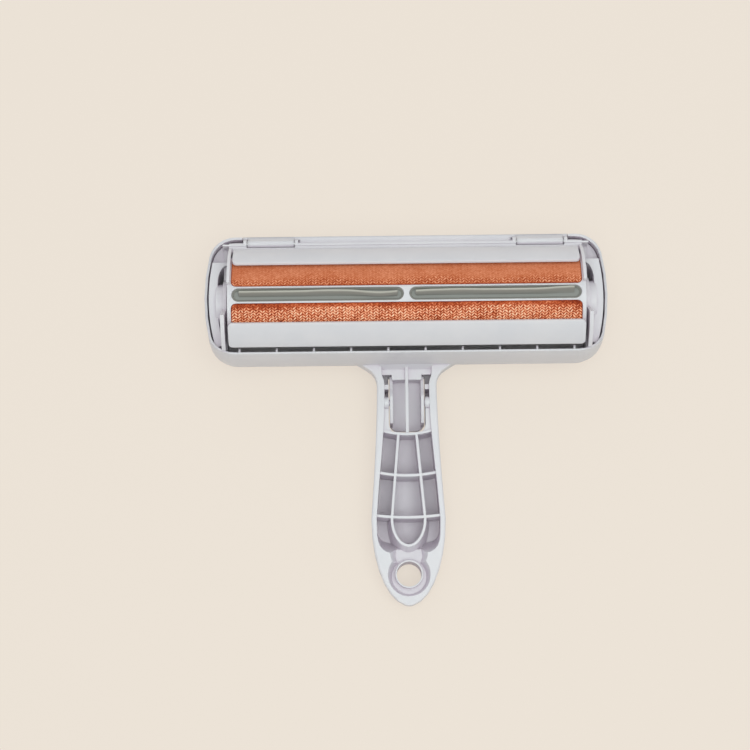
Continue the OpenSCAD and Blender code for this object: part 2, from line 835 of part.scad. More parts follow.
module left_blade() {
    color(rubber_grey) on_drum() mirror([1, 0, 0]) blade();
}

module right_blade() {
    color(rubber_grey) on_drum() blade();
}

// Lid: the crown of the dome, a front wall that rises to the hinge, and a lip inside the seam
lid_top = seam_h - seat_gap;
lid_heights = [0, 0.25, 1, 2.4, 4.4, 6.6, lid_top];
hinge_h = axis_h + hinge_z;
lip_in = head_inset(seam_h) + wall + seat_gap;
lip_w = 1.1;
lip_stop = 28;
tooth_low = 14;
tooth_t = 1.5;

module lid_crown() {
    outer = [for (z = lid_heights) ring_at(head_inset(z), z)];
    inner = [for (i = [len(lid_heights) - 1:-1:0]) let (z = lid_heights[i])
        ring_at(head_inset(z) + lid_wall, max(z, lid_wall + (z - lid_wall) * 0.02))];
    loft(concat(outer, inner));
}

module lid_front() {
    heights = [7, lid_top, 12, 16, dome_h, 30, lid_rim_h];
    across(2 * lid_half) polygon(concat(
        [for (z = heights) [head_front - head_inset(z) - (z < seam_h ? 0.2 : 0), z]],
        [for (i = [len(heights) - 1:-1:0]) [head_front - head_inset(heights[i]) - lid_wall, heights[i]]]));
}

module lid_lip() {
    difference() {
        translate([0, 0, 7.3]) linear_extrude(4) difference() {
            polygon(without_repeats(head_outline(lip_in)));
            polygon(without_repeats(head_outline(lip_in + lip_w)));
        }
        translate([-head_w, head_front - lip_stop, 0]) cube([2 * head_w, lip_stop + 20, 40]);
    }
}

// Flange along the top of the front wall, as far as the rail, between the hinges
module lid_flange() {
    half = hinge_at - hinge_w / 2 - bracket_t - seat_gap - 0.1;
    outer = head_front - head_inset(lid_rim_h) - lid_wall / 2;
    inner = ridge_y + seat_gap + 0.05;
    across(2 * half) polygon([[inner, lid_rim_h - 1.2], [outer, lid_rim_h - 1.4], [outer, lid_rim_h], [inner, lid_rim_h - 0.2]]);
}

module lid_barrels() {
    length = hinge_w - 2 * seat_gap;
    both_sides() translate([hinge_at, 0, 0]) {
        translate([0, hinge_y, hinge_h]) rod(barrel_r, length);
        across(length) polygon([[hinge_y + 0.2, hinge_h - 1.6], [hinge_y + 1.5, hinge_h - 0.2],
            [head_front - 1, lid_rim_h], [head_front - 1, lid_rim_h - 2.6], [head_front - lid_wall - 0.2, lid_rim_h - 2.6]]);
    }
}

// Tooth at the rear that the button's hook holds
module lid_tooth() {
    back = head_rear - lip_in;
    translate([-5, -back, 7.3]) cube([10, lip_w, tooth_low + tooth_t - 7.3]);
    translate([-4, -back - 0.9, tooth_low]) cube([8, 1.2, tooth_t]);
}

module lid() {
    color(shell_white) from_axis() difference() {
        union() {
            lid_crown();
            lid_front();
            lid_lip();
            lid_flange();
            lid_barrels();
            lid_tooth();
        }
        both_sides() translate([hinge_at, hinge_y, hinge_h]) rod(pin_r + turn_gap, hinge_w + 2);
    }
}

module hinge_pin() {
    translate([hinge_at, hinge_y, hinge_z]) rod(pin_r, hinge_w + 2 * bracket_t);
}

module left_hinge_pin() {
    color(steel) on_axis() mirror([1, 0, 0]) hinge_pin();
}

module right_hinge_pin() {
    color(steel) on_axis() hinge_pin();
}

// Button: a curved plate with tall sides on two stubs, and an arm with a hook that holds the lid's tooth
plate_thick = 1.8;
proud = 0.4;
side_t = 1.5;
arm_low = 15.2;
arm_top = bar_low - seat_gap;
arm_half = 4;
hook_front = head_rear - lip_in + 0.4;
finger_back = hook_front + 0.9;

module button_plate() {
    backs = [for (i = [0:5]) button_nose + (button_tail - button_nose) * i / 5];
    intersection() {
        linear_extrude(30) rounded_plan(button_half, button_nose, button_tail, 3.6);
        across(2 * button_half) polygon(concat(
            [for (b = backs) [-b, handle_low(b) - proud]],
            [for (i = [5:-1:0]) [-backs[i], handle_low(backs[i]) - proud + plate_thick]]));
    }
}

module button_sides() {
    both_sides() translate([button_half - side_t / 2, 0, 0]) across(side_t)
        polygon([[-button_nose, 8], [-button_nose, arm_top], [-button_nose - 6, arm_top + 1], [-pivot_back + 3, pivot_h + 2],
            [-pivot_back - 3, pivot_h + 2], [-button_tail + 2, pivot_h - 1], [-button_tail + 2, 5.2], [-pivot_back, 6.4]]);
}

module button() {
    color(frame_white) from_axis() {
        button_plate();
        button_sides();
        both_sides() translate([button_half + 0.9, -pivot_back, pivot_h]) rod(stub_r, 4);
        translate([-button_half + 0.5, -button_nose - side_t, 8]) cube([2 * button_half - 1, side_t, arm_top - 8]);
        translate([-arm_half, -button_nose - 1, arm_low]) cube([2 * arm_half, button_nose + 1 - finger_back, arm_top - arm_low]);
        translate([-arm_half, -finger_back - 1.2, tooth_low - 1.8]) cube([2 * arm_half, 1.2, arm_top - tooth_low + 1.8]);
        translate([-arm_half, -finger_back - 0.2, tooth_low - 1.8]) cube([2 * arm_half, finger_back - hook_front + 0.2, 1.5]);
    }
}

// Coil under the arm that lifts it back
coil_r = 1.7;
wire_r = 0.25;
coil_turns = 3;
coil_back = head_rear + 2.4;
coil_low = handle_low(coil_back) + skin + 0.05 + wire_r;
coil_high = arm_low - 0.05 - wire_r;

module button_spring() {
    steps = coil_turns * 14;
    rings = [for (i = [0:steps]) let (
            turn = 360 * coil_turns * i / steps,
            z = coil_low + (coil_high - coil_low) * i / steps)
        [for (a = [0:60:300]) let (r = coil_r + wire_r * cos(a)) [r * cos(turn), r * sin(turn), z - wire_r * sin(a)]]];
    color(steel) from_axis() translate([0, -coil_back, 0]) loft(rings);
}

housing();
roller_frame();
front_cover();
rear_cover();
front_stripper();
rear_stripper();
drum();
left_end_cap();
right_end_cap();
left_axle();
right_axle();
front_cloth();
rear_cloth();
left_blade();
right_blade();
lid();
left_hinge_pin();
right_hinge_pin();
button();
button_spring();
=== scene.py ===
import bmesh
import bpy
import math
import random
from mathutils import Matrix, Vector, noise


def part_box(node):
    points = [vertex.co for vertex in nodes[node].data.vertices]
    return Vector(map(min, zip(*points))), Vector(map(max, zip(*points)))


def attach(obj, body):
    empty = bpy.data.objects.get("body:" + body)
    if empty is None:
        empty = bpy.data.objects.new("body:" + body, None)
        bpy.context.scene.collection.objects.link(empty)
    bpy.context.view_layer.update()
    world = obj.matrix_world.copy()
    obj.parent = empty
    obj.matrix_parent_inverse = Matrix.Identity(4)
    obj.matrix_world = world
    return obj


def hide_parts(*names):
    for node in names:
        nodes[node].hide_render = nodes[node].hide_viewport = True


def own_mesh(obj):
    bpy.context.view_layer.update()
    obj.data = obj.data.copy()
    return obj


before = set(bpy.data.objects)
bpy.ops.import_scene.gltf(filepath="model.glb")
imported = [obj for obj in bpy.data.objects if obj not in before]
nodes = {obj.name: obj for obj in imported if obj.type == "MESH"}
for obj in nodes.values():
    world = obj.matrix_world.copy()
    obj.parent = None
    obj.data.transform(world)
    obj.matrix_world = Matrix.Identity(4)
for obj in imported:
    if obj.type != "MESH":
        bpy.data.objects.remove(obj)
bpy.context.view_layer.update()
print("frame loaded")

mm = 0.001
perMm = 1000.0                               # turns blotches to the mm into a noise texture's scale
drumAxis = Vector((0.0, 55.45, 31.0)) * mm   # the drum's turning line, as in the solids


def toLinear(hexColour):
    values = [int(hexColour[i:i + 2], 16) / 255 for i in (1, 3, 5)]
    linear = [v / 12.92 if v <= 0.04045 else ((v + 0.055) / 1.055) ** 2.4 for v in values]
    return (*linear, 1.0)


def addNode(tree, kind, settings=None, links=None):
    # A socket's name or number in the settings sets that socket, and any other word sets the node itself
    node = tree.nodes.new(kind)
    for key, value in (settings or {}).items():
        if isinstance(key, int) or key in node.inputs.keys():
            node.inputs[key].default_value = value
        else:
            setattr(node, key, value)
    for key, source in (links or {}).items():
        tree.links.new(source, node.inputs[key])
    return node


def setRamp(node, stops):
    # The stops are (place, hex colour), from low to high
    ramp = node.color_ramp
    while len(ramp.elements) < len(stops):
        ramp.elements.new(0.5)
    for element, (place, colour) in zip(ramp.elements, stops):
        element.position = place
        element.color = toLinear(colour)


def newMaterial(name):
    material = bpy.data.materials.new(name)
    material.use_nodes = True
    material.node_tree.nodes.clear()
    return material, material.node_tree


def finishMaterial(tree, shader):
    output = addNode(tree, "ShaderNodeOutputMaterial")
    tree.links.new(shader.outputs[0], output.inputs["Surface"])


def paint(nodeName, material):
    data = nodes[nodeName].data
    data.materials.clear()
    data.materials.append(material)


# The photograph's viewpoint, nearly straight above the roller
view = {
    "distance": 900.0,                # mm from the middle of the picture to the lens
    "tilt": 11.0,                     # degrees towards the handle's tip
    "roll": 0.65,                     # degrees
    "aim": (-15.353, 20.558, 31.0),   # mm, the middle of the picture
    "lens": 89.78, "sensor": 36.0,    # mm
    "nearest": 0.01, "farthest": 20.0,   # metres that the camera sees
}


def addCamera():
    tilt, roll = math.radians(view["tilt"]), math.radians(view["roll"])
    level = Vector((1, 0, 0))
    upright = Vector((0, math.cos(tilt), math.sin(tilt)))
    back = Vector((0, -math.sin(tilt), math.cos(tilt)))
    right = level * math.cos(roll) - upright * math.sin(roll)
    up = level * math.sin(roll) + upright * math.cos(roll)
    place = (Vector(view["aim"]) + back * view["distance"]) * mm
    data = bpy.data.cameras.new("camera")
    data.lens = view["lens"]
    data.sensor_width = view["sensor"]
    data.sensor_fit = "HORIZONTAL"
    data.clip_start = view["nearest"]
    data.clip_end = view["farthest"]
    camera = bpy.data.objects.new("camera", data)
    bpy.context.scene.collection.objects.link(camera)
    camera.matrix_world = Matrix.Translation(place) @ Matrix((right, up, back)).transposed().to_4x4()
    bpy.context.scene.camera = camera


floorLook = {
    "size": 6.0,          # metres
    "height": -0.0002,    # metres, just clear of the lid's crown
    "colour": "#ece2d6",
    "glow": 0.74,         # share of the floor's own colour that the camera sees whatever the light
}

# The key is nearly overhead, a little to the handle's side, and the fill stands lower, in front
studio = {
    "air": "#f0eef3",
    "airStrength": 0.66,
    "keyPlace": (0.14, -0.26, 1.6),    # metres, as are all places and sizes here
    "keyAim": (0, 0.03, 0),
    "keySize": (1.2, 1.0),
    "keyPower": 13.2,
    "keyColour": "#f3fff8",
    "fillPlace": (-0.45, 0.95, 1.15),
    "fillAim": (0, 0, 0),
    "fillSize": (1.2, 0.9),
    "fillPower": 1.6,
    "fillColour": "#f4f8fb",
}


def addArea(name):
    data = bpy.data.lights.new(name, "AREA")
    data.shape = "RECTANGLE"
    data.size, data.size_y = studio[name + "Size"]
    data.energy = studio[name + "Power"]
    data.color = toLinear(studio[name + "Colour"])[:3]
    lamp = bpy.data.objects.new(name, data)
    bpy.context.scene.collection.objects.link(lamp)
    lamp.location = studio[name + "Place"]
    aim = Vector(studio[name + "Aim"]) - lamp.location
    lamp.rotation_euler = aim.to_track_quat("-Z", "Y").to_euler()


def seenDirectly(tree, share):
    # "share" for what the camera, a gloss or clear material sees, and 0 for the light that falls on things
    rays = addNode(tree, "ShaderNodeLightPath")
    gloss = addNode(tree, "ShaderNodeMath", {"operation": "MAXIMUM"},
                    {0: rays.outputs["Is Glossy Ray"], 1: rays.outputs["Is Transmission Ray"]})
    seen = addNode(tree, "ShaderNodeMath", {"operation": "MAXIMUM"},
                   {0: rays.outputs["Is Camera Ray"], 1: gloss.outputs[0]})
    return addNode(tree, "ShaderNodeMath", {"operation": "MULTIPLY", 1: share}, {0: seen.outputs[0]})


def addStudio():
    addArea("key")
    addArea("fill")
    world = bpy.data.worlds.new("world")
    world.use_nodes = True
    tree = world.node_tree
    tree.nodes.clear()
    light = addNode(tree, "ShaderNodeBackground",
                    {"Color": toLinear(studio["air"]), "Strength": studio["airStrength"]})
    paper = addNode(tree, "ShaderNodeBackground",
                    {"Color": toLinear(floorLook["colour"]), "Strength": 1.0})
    mixed = addNode(tree, "ShaderNodeMixShader", {},
                    {0: seenDirectly(tree, 1.0).outputs[0], 1: light.outputs[0], 2: paper.outputs[0]})
    output = addNode(tree, "ShaderNodeOutputWorld")
    tree.links.new(mixed.outputs[0], output.inputs["Surface"])
    bpy.context.scene.world = world
    bpy.context.scene.view_settings.view_transform = "Standard"


def addFloor():
    bpy.ops.mesh.primitive_plane_add(size=floorLook["size"], location=(0, 0, floorLook["height"]))
    floor = bpy.context.object
    floor.name = "floor"
    bpy.ops.object.transform_apply(location=True, rotation=True, scale=True)
    material, tree = newMaterial("paperFloor")   # uncoated paper: matt, warm and even
    matt = addNode(tree, "ShaderNodeBsdfDiffuse", {"Color": toLinear(floorLook["colour"])})
    glow = addNode(tree, "ShaderNodeEmission",
                   {"Color": toLinear(floorLook["colour"]), "Strength": 1.0})
    seen = seenDirectly(tree, floorLook["glow"])
    mixed = addNode(tree, "ShaderNodeMixShader", {},
                    {0: seen.outputs[0], 1: matt.outputs[0], 2: glow.outputs[0]})
    finishMaterial(tree, mixed)
    floor.data.materials.append(material)


addCamera()
addStudio()
addFloor()
print("camera, light and floor ready")


# The pick-up cloth: a velour with leaning tufts in a herringbone, bonded to the drum
pickUpCloth = {
    "low": 25.03, "root": 25.32, "tuft": 0.48,   # mm from the drum's axis, and the tufts' height
    "near": 9.3, "far": 55.0,                    # degrees from straight up
    "half": 83.0, "corner": 2.4,                 # mm, half the strip's length and its corners' radius
    "turn": 1.3,                                 # degrees that the drum is rocked at rest
    "column": 1.45, "row": 1.3,                  # mm across and along one tuft
    "step": 0.29,                                # mm between the mesh's points
}
# The linings under the covers wipe the drum's strips, and their pile faces the drum
liningCloth = {
    "low": 26.72, "root": 26.5, "tuft": 0.3,
    "column": 1.35, "row": 1.12,
    "corner": 0.5, "turn": 0.0,
    "step": 0.55,
}
covers = {"front": {"near": 35.0, "far": 59.3, "half": 80.5},
          "rear": {"near": 32.7, "far": 55.0, "half": 82.5}}
# How the tufts stand, in both cloths
herringbone = {
    "straySeed": 7,                    # without it the clock would set where the tufts stray
    "stray": 0.42, "strayRate": 0.55, "straySlice": 3.0,   # mm out of line, and how fast that changes
    "slant": 1.05,                     # rows that a tuft climbs across its column
    "shift": 0.25, "shifts": 211,      # of a column along the cloth, in rows, from this many random ones
    "weakest": 0.55, "spread": 2.4,    # a tuft's share of the full height
    "along": 0.9, "across": 0.5,       # the powers that fill out a tuft's round back
    "rise": 0.7, "hem": 0.3,           # mm from the strip's edge to full tufts and to the full backing
    "drawnIn": 3.0,                    # mm at each end over which the rows follow the round corners
}
# Share of its height that the pile keeps: brushed flat towards the front cover, and pressed down in a
# narrow band beside the slots on the rear strip
wornPile = {
    "front": {"least": 0.2, "from": 1.2, "to": 5.4, "sway": 1.2, "swayRate": 0.11, "swayStart": 0.0},
    "rear": {"least": 0.22, "from": 1.0, "to": 3.6, "sway": 0.9, "swayRate": 0.083, "swayStart": 1.0},
}


def smooth(value, low, high):
    t = min(1.0, max(0.0, (value - low) / (high - low)))
    return t * t * (3 - 2 * t)


def tuftHeight(look, jitter, x, s):
    # One slanted tuft in each cell, leaning the other way in the next column, and none quite in line
    tufts = herringbone
    place = Vector((x * tufts["strayRate"], s * tufts["strayRate"], tufts["straySlice"]))
    stray = noise.noise_vector(place)
    x, s = x + tufts["stray"] * stray.x, s + tufts["stray"] * stray.y
    column = math.floor(x / look["column"])
    across = x / look["column"] - column
    lean = 1.0 if column % 2 else -1.0
    shift = jitter[column % len(jitter)]
    along = s / look["row"] + lean * tufts["slant"] * (across - 0.5) + shift
    row = math.floor(along + 0.5)
    ridge = 0.5 + 0.5 * math.cos(2 * math.pi * (along - row))
    vigour = tufts["weakest"] + tufts["spread"] * jitter[(column * 7 + row * 13) % len(jitter)]
    back = ridge ** tufts["along"] * math.sin(math.pi * across) ** tufts["across"]
    return back * min(1.0, vigour)


def keptHeight(end, x, s):
    look = wornPile[end]
    edge = look["to"] + look["sway"] * math.sin(x * look["swayRate"] + look["swayStart"])
    away = smooth(s, look["from"], edge)
    return look["least"] + (1 - look["least"]) * (1 - away if end == "front" else away)


def layCloth(name, look, side, inward=False, wornEnd=None, flat=0.5):
    # A flat grid is bent round the drum's axis, trimmed to its rounded corners and raised into tufts
    tufts = herringbone
    middle = (look["low"] + look["root"]) / 2
    length = math.radians(look["far"] - look["near"]) * middle
    half, corner = look["half"], look["corner"]
    across, along = round(2 * half / look["step"]), round(length / look["step"])
    bpy.ops.object.select_all(action="DESELECT")
    bpy.ops.mesh.primitive_grid_add(x_subdivisions=across, y_subdivisions=along, size=2,
                                    location=(0, 0, 0))
    strip = bpy.context.object
    strip.name = name
    mesh = strip.data
    dice = random.Random(name)
    jitter = [dice.uniform(0, tufts["shift"]) for i in range(tufts["shifts"])]
    pile = []
    flip = -side if inward else side   # keeps the faces' outer side up
    for vertex in mesh.vertices:
        x = vertex.co.x * half
        s = (1 + vertex.co.y * flip) / 2 * length   # mm from the edge beside the slots
        rim = half
        for edge in (s, length - s):
            if edge < corner:
                rim = half - corner + math.sqrt(max(0.0, corner ** 2 - (corner - edge) ** 2))
        straight = half - tufts["drawnIn"]
        if abs(x) > straight:
            x = math.copysign(straight + (abs(x) - straight) / tufts["drawnIn"] * (rim - straight), x)
        border = min(s, length - s, rim - abs(x))
        height = tuftHeight(look, jitter, x, s)
        kept = keptHeight(wornEnd, x, s) if wornEnd else 1.0
        height = (height * kept + flat * (1 - kept)) * smooth(border, 0.0, tufts["rise"])
        backing = smooth(border, -0.01, tufts["hem"])   # a little above nothing at the very edge
        radius = look["low"] + (look["root"] - look["low"]) * backing
        radius += (-1 if inward else 1) * look["tuft"] * height
        angle = side * math.radians(look["near"] + math.degrees(s / middle)) - math.radians(look["turn"])
        vertex.co = drumAxis + Vector((x, radius * math.sin(angle), radius * math.cos(angle))) * mm
        pile.append(height)
    layer = mesh.attributes.new("pile", "FLOAT", "POINT")
    layer.data.foreach_set("value", pile)
    for polygon in mesh.polygons:
        polygon.use_smooth = True
    mesh.update()
    return strip, length


velourLook = {
    "fibres": 2.6,      # to the mm, far coarser than real ones, which the picture couldn't show
    "clumps": 0.75,     # to the mm, fibres that cling together
    "patches": 0.095,   # to the mm, where the pile lies one way
    "fibreShare": 0.32, "clumpShare": 0.5, "patchShare": 0.3,   # of the way from valley to tip
    "sheen": "#ffc9a6",
}


def velour(name, stops):
    # Woven polyester velour: matt, its colour following the pile's height, with painted shade in the valleys
    # and painted highlights on the tuft tips
    look = velourLook
    material, tree = newMaterial(name)
    coords = addNode(tree, "ShaderNodeTexCoord")
    height = addNode(tree, "ShaderNodeAttribute", {"attribute_name": "pile", "attribute_type": "GEOMETRY"})
    fibre = addNode(tree, "ShaderNodeTexNoise",
                    {"Scale": look["fibres"] * perMm, "Detail": 2.0, "Roughness": 0.7},
                    {"Vector": coords.outputs["Object"]})
    clump = addNode(tree, "ShaderNodeTexNoise",
                    {"Scale": look["clumps"] * perMm, "Detail": 2.0, "Roughness": 0.6},
                    {"Vector": coords.outputs["Object"]})
    patch = addNode(tree, "ShaderNodeTexNoise",
                    {"Scale": look["patches"] * perMm, "Detail": 3.0, "Roughness": 0.55},
                    {"Vector": coords.outputs["Object"]})
    uneven = None
    for texture, share in ((fibre, look["fibreShare"]), (clump, look["clumpShare"]),
                           (patch, look["patchShare"])):
        part = addNode(tree, "ShaderNodeMath", {"operation": "MULTIPLY_ADD", 1: share, 2: -share / 2},
                       {0: texture.outputs["Fac"]})
        if uneven:
            part = addNode(tree, "ShaderNodeMath", {"operation": "ADD"},
                           {0: uneven.outputs[0], 1: part.outputs[0]})
        uneven = part
    # The pile's height with random tone picks the colour: painted shade in the valleys, painted highlights
    # on the tips
    pileShadeAndTone = addNode(tree, "ShaderNodeMath", {"operation": "ADD", "use_clamp": True},
                    {0: height.outputs["Fac"], 1: uneven.outputs[0]})
    tint = addNode(tree, "ShaderNodeValToRGB", {}, {"Fac": pileShadeAndTone.outputs[0]})
    setRamp(tint, stops)
    bump = addNode(tree, "ShaderNodeBump", {"Strength": 0.5, "Distance": 0.2 * mm},
                   {"Height": fibre.outputs["Fac"]})
    shader = addNode(tree, "ShaderNodeBsdfPrincipled",
                     {"Roughness": 0.85, "IOR": 1.45, "Specular IOR Level": 0.25, "Sheen Weight": 0.25,
                      "Sheen Roughness": 0.4, "Sheen Tint": toLinear(look["sheen"])},
                     {"Base Color": tint.outputs["Color"], "Normal": bump.outputs["Normal"]})
    finishMaterial(tree, shader)
    return material


# Colours from the darkest valley to the palest tip, which paint shade low in the pile and highlights on the
# tips; the rear strip shows its tufts more
frontVelour = velour("polyesterVelourBrushed", [(0.0, "#903619"), (0.25, "#c0653d"),
                                                (0.6, "#e0906a"), (1.0, "#ffb994")])
rearVelour = velour("polyesterVelour", [(0.0, "#76220b"), (0.22, "#bf572e"),
                                        (0.48, "#faab82"), (0.9, "#ffdfbe")])


def addCloths():
    noise.seed_set(herringbone["straySeed"])
    # The last value is the height at which flattened pile lies, and through the velours' colour ramps it
    # also sets how dark that band is painted
    for end, side, material, flat in (("front", 1, frontVelour, 0.42), ("rear", -1, rearVelour, 0.1)):
        strip, length = layCloth(end + "ClothStrip", pickUpCloth, side, wornEnd=end, flat=flat)
        strip.data.materials.append(material)
        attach(strip, "drum_body")
        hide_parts(end + "_cloth")
        lining, length = layCloth(end + "Lining", {**liningCloth, **covers[end]}, side, inward=True)
        lining.data.materials.append(frontVelour)
        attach(lining, "body")
        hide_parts(end + "_stripper")


addCloths()
print("cloth strips and linings laid")


# The rubber inserts: a flange inside the drum, a dished floor in the slot and a lip that leans forward.
# All in mm with the drum unturned, across from the middle of the drum and up from its axis
rubberInsert = {
    "near": 1.3, "far": 82.7, "width": 6.4,      # the slot
    "flangeLow": 21.72, "flangeTop": 22.82, "flangeOut": 0.7,
    "endSteps": 14, "endFlat": 0.01,             # the round ends, and what is left flat between two arcs
    "gap": 0.1,                                  # between the floor and the slot's edge
    "rim": 24.05, "rimWidth": 0.35, "floor": 23.15, "dish": 0.75,
    "lipNear": 4.3, "lipFar": 79.2,
    # height, back and front of the lip at each level
    "lipRows": [(22.9, -0.8, 1.0), (24.0, -0.35, 1.1), (24.9, 0.12, 1.3), (25.7, 0.62, 1.58),
                (26.3, 0.95, 1.8)],
    "lipCuts": 74, "lipRound": 0.28, "lipRoundSteps": 3,
    "lipHeld": 23.95,                            # below this the lip is held by the floor and stays straight
    # where the lip has bent, how far, and the reach of the bend
    "leftWaves": [(-12.0, -0.95, 15.0), (-80.0, -0.7, 4.5), (-36.0, 0.3, 16.0)],
    "rightWaves": [(79.0, 0.85, 19.0), (4.0, -0.3, 8.0), (25.0, 0.2, 14.0)],
    "creaseAngle": 38,                           # degrees
}


def pick(piece, kind, test):
    # Selects the vertices, edges or faces whose middle in mm passes the test, and nothing else
    bpy.ops.mesh.select_all(action="DESELECT")
    bpy.ops.mesh.select_mode(type=kind)
    shape = bmesh.from_edit_mesh(piece.data)
    for item in {"VERT": shape.verts, "EDGE": shape.edges, "FACE": shape.faces}[kind]:
        corners = [item] if kind == "VERT" else item.verts
        if not item.hide and test(sum((v.co for v in corners), Vector()) / len(corners) / mm, item):
            item.select = True
    shape.select_flush_mode()
    bmesh.update_edit_mesh(piece.data)


def startPiece(name, low, high):
    # A block between two corners in mm, left in edit mode
    bpy.ops.object.select_all(action="DESELECT")
    middle, size = (Vector(low) + Vector(high)) / 2 * mm, (Vector(high) - Vector(low)) * mm
    bpy.ops.mesh.primitive_cube_add(size=1, location=middle, scale=size)
    bpy.ops.object.transform_apply(location=True, rotation=True, scale=True)
    piece = bpy.context.object
    piece.name = name
    bpy.ops.object.mode_set(mode="EDIT")
    return piece


def upright(edge):
    return abs(edge.verts[0].co.z - edge.verts[1].co.z) > 0.5 * edge.calc_length()


def addBed(name, side):
    # The flange with its round ends, and on it the rim and the dished floor that fill the slot
    look = rubberInsert
    ends = sorted((side * (look["near"] - look["flangeOut"]), side * (look["far"] + look["flangeOut"])))
    half = look["width"] / 2 + look["flangeOut"]
    bed = startPiece(name, (ends[0], -half, look["flangeLow"]), (ends[1], half, look["flangeTop"]))
    pick(bed, "EDGE", lambda place, edge: upright(edge))
    bpy.ops.mesh.bevel(offset=(half - look["endFlat"]) * mm, segments=look["endSteps"], affect="EDGES")
    bpy.ops.mesh.select_all(action="SELECT")
    bpy.ops.mesh.remove_doubles(threshold=5 * look["endFlat"] * mm)   # joins the two arcs of an end
    pick(bed, "FACE", lambda place, face: face.normal.z > 0.9)
    bpy.ops.mesh.inset(thickness=(look["flangeOut"] + look["gap"]) * mm, depth=0)
    rise = (look["rim"] - look["flangeTop"]) * mm
    bpy.ops.mesh.extrude_region_move(TRANSFORM_OT_translate={"value": (0, 0, rise)})
    bpy.ops.mesh.inset(thickness=look["rimWidth"] * mm, depth=0)
    bpy.ops.mesh.inset(thickness=look["dish"] * mm, depth=(look["floor"] - look["rim"]) * mm)
    bpy.ops.object.mode_set(mode="OBJECT")
    return bed


def addLip(name, side):
    # A bar that is cut into short lengths and levels, drawn to the lip's section, and bent into waves
    look = rubberInsert
    ends = sorted((side * look["lipNear"], side * look["lipFar"]))
    foot, top = look["lipRows"][0], look["lipRows"][-1]
    lip = startPiece(name + "Lip", (ends[0], foot[1], foot[0]), (ends[1], foot[2], top[0]))
    pick(lip, "EDGE", lambda place, edge: abs(edge.verts[0].co.x - edge.verts[1].co.x) > 10 * mm)
    bpy.ops.mesh.subdivide(number_cuts=look["lipCuts"])
    pick(lip, "EDGE", lambda place, edge: upright(edge))
    bpy.ops.mesh.subdivide(number_cuts=len(look["lipRows"]) - 2)
    levels = sorted({round(v.co.z / mm, 3) for v in bmesh.from_edit_mesh(lip.data).verts})
    for level, (height, back, front) in zip(levels, look["lipRows"]):
        for edge, goal in ((foot[1], back), (foot[2], front)):
            pick(lip, "VERT", lambda place, v: abs(place.z - level) < 0.01 and abs(place.y - edge) < 0.01)
            bpy.ops.transform.translate(value=(0, (goal - edge) * mm, (height - level) * mm))
    pick(lip, "EDGE", lambda place, edge: place.z > top[0] - 0.01 and not upright(edge)
         and (len({face.normal.z > 0.7 for face in edge.link_faces}) == 2))
    bpy.ops.mesh.bevel(offset=look["lipRound"] * mm, segments=look["lipRoundSteps"], affect="EDGES")
    pick(lip, "FACE", lambda place, face: place.z < look["lipHeld"])
    bpy.ops.mesh.hide(unselected=False)
    for middle, shift, reach in look["leftWaves" if side < 0 else "rightWaves"]:
        pick(lip, "VERT", lambda place, v: abs(place.x - middle) < 0.6)
        bpy.ops.transform.translate(value=(0, shift * mm, 0), use_proportional_edit=True,
                                    proportional_edit_falloff="SMOOTH", proportional_size=reach * mm)
    bpy.ops.mesh.reveal(select=False)
    bpy.ops.object.mode_set(mode="OBJECT")
    return lip


def addInsert(name, side):
    bed = addBed(name, side)
    lip = addLip(name, side)
    bpy.context.view_layer.objects.active = bed
    weld = bed.modifiers.new("weld", "BOOLEAN")
    weld.operation = "UNION"
    weld.solver = "EXACT"
    weld.object = lip
    bpy.ops.object.modifier_apply(modifier=weld.name)
    bpy.data.objects.remove(lip)
    bpy.ops.object.select_all(action="DESELECT")
    bed.select_set(True)
    bed.rotation_euler.x = math.radians(pickUpCloth["turn"])
    bed.location = drumAxis
    bpy.ops.object.transform_apply(location=True, rotation=True, scale=True)
    bpy.ops.object.shade_smooth_by_angle(angle=math.radians(rubberInsert["creaseAngle"]))
    return bed


# The wire coil that lifts the button back, squeezed between the arm and the handle's floor
returnCoil = {
    "radius": 1.7, "wire": 0.25, "turns": 3.5,     # mm, and the wire's own radius
    "wireSides": 10, "stepsPerTurn": 28,
    "creaseAngle": 50,   # degrees
    "pressed": 0.41,     # its height at the button's stop, as a share of its height at rest
}


def addCoil():
    look = returnCoil
    low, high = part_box("button_spring")
    rise = high.z - low.z - 2 * look["wire"] * mm
    bpy.ops.object.select_all(action="DESELECT")
    bpy.ops.mesh.primitive_circle_add(vertices=look["wireSides"], radius=look["wire"] * mm,
                                      location=(0, 0, 0))
    coil = bpy.context.object
    coil.name = "buttonCoil"
    bpy.ops.object.mode_set(mode="EDIT")
    bpy.ops.mesh.select_all(action="SELECT")
    bpy.ops.transform.rotate(value=math.pi / 2, orient_axis="X", center_override=(0, 0, 0))
    bpy.ops.transform.translate(value=(look["radius"] * mm, 0, 0))
    bpy.ops.object.mode_set(mode="OBJECT")
    wind = coil.modifiers.new("wind", "SCREW")
    wind.angle = 2 * math.pi * look["turns"]
    wind.screw_offset = rise
    wind.steps = wind.render_steps = round(look["stepsPerTurn"] * look["turns"])
    bpy.ops.object.modifier_apply(modifier=wind.name)
    # The two cut ends of the wire are closed
    bpy.ops.object.mode_set(mode="EDIT")
    bpy.ops.mesh.select_all(action="DESELECT")
    bpy.ops.mesh.select_mode(type="EDGE")
    bpy.ops.mesh.select_non_manifold()
    bpy.ops.mesh.fill_holes(sides=0)
    bpy.ops.mesh.select_all(action="SELECT")
    bpy.ops.mesh.normals_make_consistent(inside=False)
    bpy.ops.object.mode_set(mode="OBJECT")
    coil.location = ((low.x + high.x) / 2, (low.y + high.y) / 2, low.z + look["wire"] * mm)
    bpy.ops.object.transform_apply(location=True, rotation=True, scale=True)
    bpy.ops.object.shade_smooth_by_angle(angle=math.radians(look["creaseAngle"]))
    return coil, low


